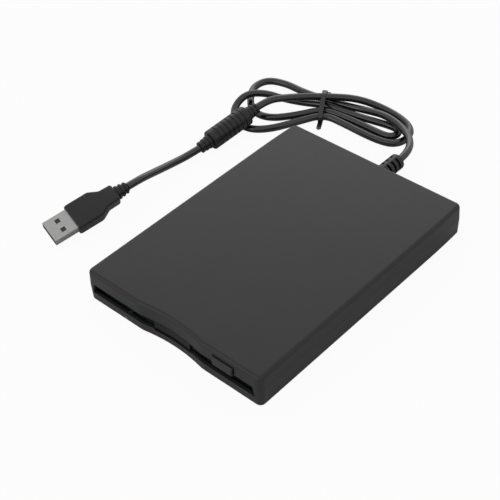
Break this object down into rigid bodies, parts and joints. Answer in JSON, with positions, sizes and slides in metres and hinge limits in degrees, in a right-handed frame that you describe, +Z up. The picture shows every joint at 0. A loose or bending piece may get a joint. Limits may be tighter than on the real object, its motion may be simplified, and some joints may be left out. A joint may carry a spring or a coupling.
{
  "type": "external floppy disk drive",
  "caption": "Slim portable floppy disk drive with a sprung slot door, an eject button, a disk lift, a head carriage and a captive USB lead tied in a loose hank.",
  "frame": {"origin": "bottom centre of the case, at the middle of its width and depth, on the surface the feet stand on", "axes": "+X to the right seen from the front, +Y from the slotted front to the rear, +Z up"},
  "size_m": [0.1553, 0.1964, 0.0172],
  "materials": {
    "case_plastic": "fine grain, satin",
    "dark_plastic": "fine grain",
    "button_plastic": "satin",
    "foot_rubber": "matt",
    "zinc_steel": "rolled sheet",
    "bright_steel": "ground",
    "screw_steel": "black oxide",
    "spring_steel": "drawn wire",
    "carriage_plastic": "glass-filled",
    "head_ceramic": "polished",
    "green_board": "solder mask",
    "chip_resin": "moulded",
    "copper_wire": "enamelled",
    "bronze": "sintered",
    "connector_plastic": "moulded",
    "polyimide_film": "film",
    "wire_plastic": "insulation",
    "clear_plastic": "frosted",
    "lead_jacket": "satin vinyl",
    "overmould": "satin vinyl",
    "ferrite": "sintered",
    "tie_plastic": "nylon",
    "nickel_plate": "plated steel",
    "tongue_plastic": "moulded",
    "gold_plate": "plated"
  },
  "bodies": {
    "case": {"top_cover": "case_plastic", "bottom_cover": "case_plastic", "rubber_feet": "foot_rubber", "case_screws": "screw_steel", "led_lens": "clear_plastic", "door_spring": "spring_steel", "slider_spring": "spring_steel", "chassis": "zinc_steel", "chassis_screws": "screw_steel", "spindle_bearing": "bronze", "motor_board": "green_board", "stator_coils": "copper_wire", "screw_bushing": "carriage_plastic", "rod_clamps": "carriage_plastic", "guide_rod": "bright_steel", "stepper_motor": "zinc_steel", "track_sensor": "chip_resin", "head_flex": "polyimide_film", "flex_connector": "connector_plastic", "main_board": "green_board", "controller_chips": "chip_resin", "switch_bodies": "chip_resin", "led": "clear_plastic", "usb_board": "green_board", "bridge_chips": "chip_resin", "cable_header": "connector_plastic", "board_link": "connector_plastic", "inner_wires": "wire_plastic", "strain_relief": "overmould", "cable_to_ferrite": "lead_jacket", "ferrite_overmold": "overmould", "ferrite_core": "ferrite", "cable_to_plug": "lead_jacket", "cable_tie": "tie_plastic", "plug_overmold": "overmould", "plug_shell": "nickel_plate", "plug_tongue": "tongue_plastic", "plug_contacts": "gold_plate"},
    "door": {"dust_door": "dark_plastic"},
    "ejector": {"eject_button": "button_plastic", "eject_slider": "zinc_steel"},
    "holder": {"disk_holder": "zinc_steel", "lever_spring": "spring_steel"},
    "lever": {"shutter_lever": "zinc_steel"},
    "spindle": {"spindle_rotor": "bright_steel"},
    "carriage": {"head_carriage": "carriage_plastic", "lower_head": "head_ceramic", "arm_hinge_pin": "bright_steel", "arm_spring": "spring_steel"},
    "head_arm": {"upper_arm": "zinc_steel", "upper_head": "head_ceramic"},
    "screw": {"lead_screw": "bright_steel"},
    "media_pin": {"media_plunger": "connector_plastic"},
    "protect_pin": {"protect_plunger": "connector_plastic"},
    "density_pin": {"density_plunger": "connector_plastic"}
  },
  "joints": [
    {"name": "door_hinge", "type": "hinge", "parent": "case", "child": "door", "pos_m": [0, -0.0668, 0.0118], "axis": [1, 0, 0], "range_deg": [0, 85], "stiffness_Nm_per_rad": 0.0002, "springref_deg": -17.19, "deforming": ["door_spring"]},
    {"name": "eject_slide", "type": "slide", "parent": "case", "child": "ejector", "axis": [0, 1, 0], "range_m": [-0.0055, 0], "deforming": ["slider_spring"]},
    {"name": "holder_lift", "type": "slide", "parent": "case", "child": "holder", "axis": [0, 0, 1], "range_m": [-0.002, 0]},
    {"name": "shutter_swing", "type": "hinge", "parent": "holder", "child": "lever", "pos_m": [0.0351, 0.0056, 0.0117], "axis": [0, 0, -1], "range_deg": [0, 61], "stiffness_Nm_per_rad": 0.001, "springref_deg": -11.46, "deforming": ["lever_spring"]},
    {"name": "spindle_spin", "type": "hinge", "parent": "case", "child": "spindle", "pos_m": [0, -0.018, 0.004], "axis": [0, 0, 1], "continuous": true},
    {"name": "head_seek", "type": "slide", "parent": "case", "child": "carriage", "axis": [0, -1, 0], "range_m": [0, 0.0148], "deforming": ["head_flex"]},
    {"name": "screw_spin", "type": "hinge", "parent": "case", "child": "screw", "pos_m": [0.014, 0.045, 0.007], "axis": [0, 1, 0], "range_deg": [0, 1421]},
    {"name": "arm_lift", "type": "hinge", "parent": "carriage", "child": "head_arm", "pos_m": [0, 0.049, 0.0116], "axis": [1, 0, 0], "range_deg": [0, 9.2], "deforming": ["arm_spring"]},
    {"name": "media_press", "type": "slide", "parent": "case", "child": "media_pin", "axis": [0, 0, -1], "range_m": [0, 0.0008], "stiffness_N_per_m": 300, "springref_m": -0.0003},
    {"name": "protect_press", "type": "slide", "parent": "case", "child": "protect_pin", "axis": [0, 0, -1], "range_m": [0, 0.0008], "stiffness_N_per_m": 300, "springref_m": -0.0003},
    {"name": "density_press", "type": "slide", "parent": "case", "child": "density_pin", "axis": [0, 0, -1], "range_m": [0, 0.0008], "stiffness_N_per_m": 300, "springref_m": -0.0003}
  ],
  "couplings": [
    {"joint": "holder_lift", "follows": "eject_slide", "ratio": 0.36364},
    {"joint": "arm_lift", "follows": "eject_slide", "rad_per_m": -29.1},
    {"joint": "screw_spin", "follows": "head_seek", "rad_per_m": 1675.5}
  ]
}
